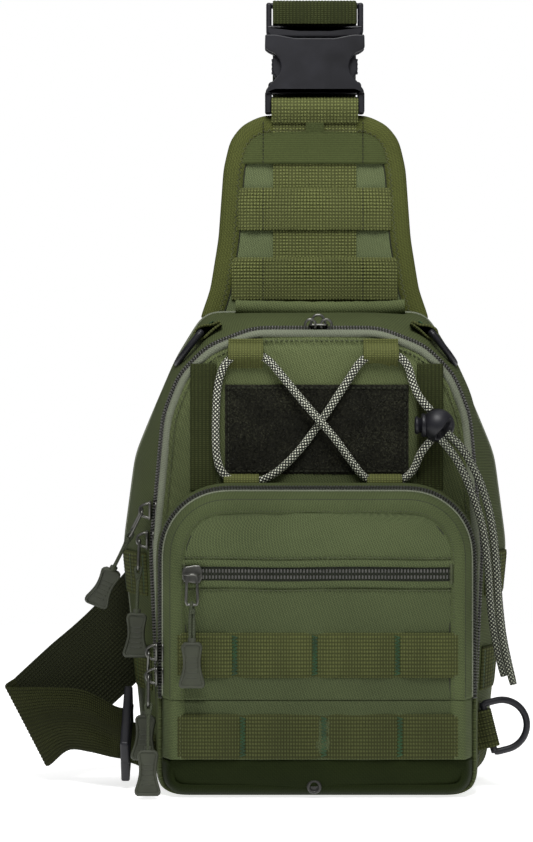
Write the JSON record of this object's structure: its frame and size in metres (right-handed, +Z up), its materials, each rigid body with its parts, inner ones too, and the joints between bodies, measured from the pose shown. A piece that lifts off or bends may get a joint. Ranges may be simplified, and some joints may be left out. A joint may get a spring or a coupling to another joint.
{
  "type": "sling bag",
  "caption": "Upright chest sling bag with a zipped main compartment, a front pocket with webbing rows, cord lace, padded shoulder strap and side-release buckle.",
  "frame": {"origin": "centre of the base where the bag stands, on the floor", "axes": "+X to the right seen from the front, -Y out of the front, +Z up"},
  "size_m": [0.3071, 0.1423, 0.4654],
  "materials": {
    "cloth": "woven polyester",
    "webbing": "ribbed webbing",
    "mesh_pad": "spacer mesh over foam",
    "lining": "plain lining",
    "zip_tape": "woven tape with nylon coil",
    "hook_field": "hook and loop pile",
    "shock_cord": "braided sleeve over elastic",
    "black_plastic": "moulded, satin",
    "dark_metal": "gunmetal",
    "grip_rubber": "moulded rubber grip on a wire bail"
  },
  "bodies": {
    "bag": {"main_gusset": "cloth", "back_panel": "cloth", "back_pad": "mesh_pad", "main_zip_rear_tape": "zip_tape", "inner_pocket": "lining", "side_webbing_left": "webbing", "side_webbing_right": "webbing", "ring_tabs_top": "webbing", "ring_tab_lower": "webbing", "sling_lower_run": "webbing", "sling_front_run": "webbing", "ladder_lock": "black_plastic", "ladder_lock_tab": "webbing"},
    "front": {"main_front_panel": "cloth", "main_zip_front_tape": "zip_tape", "patch_field": "hook_field", "side_strips": "webbing", "pocket_gusset": "cloth", "pocket_lower_face": "cloth", "pocket_zip_rear_tape": "zip_tape", "face_webbing_lower": "webbing", "drain_eyelet": "dark_metal", "lace_loops": "webbing", "lace_cord": "shock_cord", "cord_lock_body": "black_plastic", "cord_tail_a": "shock_cord", "cord_tail_b": "shock_cord"},
    "flap": {"pocket_flap": "cloth", "pocket_zip_front_tape": "zip_tape", "small_zip": "zip_tape", "small_pocket_liner": "lining", "face_webbing_upper": "webbing"},
    "button": {"cord_lock_button": "black_plastic"},
    "pad": {"shoulder_pad": "cloth", "pad_centre_webbing": "webbing", "pad_webbing_rows": "webbing", "buckle_female": "black_plastic", "sling_upper_run": "webbing"},
    "buckle": {"buckle_male": "black_plastic", "sling_top_loop": "webbing"},
    "prong_left": {"buckle_prong_left": "black_plastic"},
    "prong_right": {"buckle_prong_right": "black_plastic"},
    "handle": {"grab_handle": "cloth"},
    "ring_right": {"ring_top_right": "black_plastic"},
    "ring_left": {"ring_top_left": "black_plastic"},
    "ring_lower": {"ring_lower_right": "black_plastic"},
    "slider_top": {"top_slider": "dark_metal"},
    "main_upper_slider": {"main_upper_slider": "dark_metal"},
    "main_upper_pull": {"main_upper_pull": "grip_rubber"},
    "main_lower_slider": {"main_lower_slider": "dark_metal"},
    "main_lower_pull": {"main_lower_pull": "grip_rubber"},
    "pocket_upper_slider": {"pocket_upper_slider": "dark_metal"},
    "pocket_upper_pull": {"pocket_upper_pull": "grip_rubber"},
    "pocket_lower_slider": {"pocket_lower_slider": "dark_metal"},
    "pocket_lower_pull": {"pocket_lower_pull": "grip_rubber"},
    "small_zip_slider": {"small_zip_slider": "dark_metal"},
    "small_zip_pull": {"small_zip_pull": "grip_rubber"}
  },
  "joints": [
    {"name": "main_panel_open", "type": "hinge", "parent": "bag", "child": "front", "pos_m": [0, -0.024, 0], "axis": [1, 0, 0], "range_deg": [0, 12]},
    {"name": "pocket_open", "type": "hinge", "parent": "front", "child": "flap", "pos_m": [0, -0.0605, 0.056], "axis": [1, 0, 0], "range_deg": [0, 80]},
    {"name": "cord_lock_press", "type": "slide", "parent": "front", "child": "button", "axis": [1, 0, 0], "range_m": [0, 0.003], "stiffness_N_per_m": 300},
    {"name": "pad_fold", "type": "hinge", "parent": "bag", "child": "pad", "pos_m": [0, 0.043, 0.272], "axis": [1, 0, 0], "range_deg": [-50, 0]},
    {"name": "buckle_release", "type": "slide", "parent": "pad", "child": "buckle", "axis": [0, 0, 1], "range_m": [0, 0.035]},
    {"name": "prong_squeeze_right", "type": "hinge", "parent": "buckle", "child": "prong_right", "pos_m": [0.0165, 0.043, 0.4455], "axis": [0, 1, 0], "range_deg": [0, 8], "stiffness_Nm_per_rad": 0.05},
    {"name": "prong_squeeze_left", "type": "hinge", "parent": "buckle", "child": "prong_left", "pos_m": [-0.0165, 0.043, 0.4455], "axis": [0, 1, 0], "range_deg": [-8, 0], "stiffness_Nm_per_rad": 0.05},
    {"name": "handle_tilt", "type": "hinge", "parent": "bag", "child": "handle", "pos_m": [0, 0.031, 0.2764], "axis": [1, 0, 0], "range_deg": [0, 45]},
    {"name": "ring_right_swing", "type": "hinge", "parent": "bag", "child": "ring_right", "pos_m": [0.0675, 0.003, 0.2655], "axis": [0, 1, 0], "range_deg": [-130, 0]},
    {"name": "ring_left_swing", "type": "hinge", "parent": "bag", "child": "ring_left", "pos_m": [-0.0675, 0.003, 0.2655], "axis": [0, 1, 0], "range_deg": [0, 130]},
    {"name": "ring_lower_swing", "type": "hinge", "parent": "bag", "child": "ring_lower", "pos_m": [0.1005, -0.012, 0.035], "axis": [-0.2419, 0, 0.9703], "range_deg": [-70, 70]},
    {"name": "top_slide", "type": "slide", "parent": "bag", "child": "slider_top", "axis": [1, 0, 0], "range_m": [-0.03, 0.03]},
    {"name": "main_upper_slide", "type": "slide", "parent": "bag", "child": "main_upper_slider", "axis": [0.0905, 0, 0.9959], "range_m": [0, 0.045]},
    {"name": "main_lower_slide", "type": "slide", "parent": "bag", "child": "main_lower_slider", "axis": [0.0905, 0, 0.9959], "range_m": [0, 0.005]},
    {"name": "pocket_upper_slide", "type": "slide", "parent": "front", "child": "pocket_upper_slider", "axis": [0, 0, 1], "range_m": [0, 0.05]},
    {"name": "pocket_lower_slide", "type": "slide", "parent": "front", "child": "pocket_lower_slider", "axis": [0, 0, 1], "range_m": [-0.004, 0.002]},
    {"name": "small_zip_slide", "type": "slide", "parent": "flap", "child": "small_zip_slider", "axis": [1, 0, 0], "range_m": [0, 0.14]},
    {"name": "main_upper_swing", "type": "hinge", "parent": "main_upper_slider", "child": "main_upper_pull", "pos_m": [-0.1012, -0.019, 0.162], "axis": [0, 1, 0], "range_deg": [-5, 80]},
    {"name": "main_lower_swing", "type": "hinge", "parent": "main_lower_slider", "child": "main_lower_pull", "pos_m": [-0.1028, -0.019, 0.145], "axis": [0, 1, 0], "range_deg": [0, 85]},
    {"name": "pocket_upper_swing", "type": "hinge", "parent": "pocket_upper_slider", "child": "pocket_upper_pull", "pos_m": [-0.0962, -0.047, 0.082], "axis": [0, 1, 0], "range_deg": [0, 100]},
    {"name": "pocket_lower_swing", "type": "hinge", "parent": "pocket_lower_slider", "child": "pocket_lower_pull", "pos_m": [-0.0962, -0.047, 0.0685], "axis": [0, 1, 0], "range_deg": [0, 90]},
    {"name": "small_zip_swing", "type": "hinge", "parent": "small_zip_slider", "child": "small_zip_pull", "pos_m": [-0.071, -0.0695, 0.1275], "axis": [1, 0, 0], "range_deg": [-100, 0]}
  ],
  "couplings": [
    {"joint": "prong_squeeze_left", "follows": "prong_squeeze_right", "ratio": -1}
  ]
}
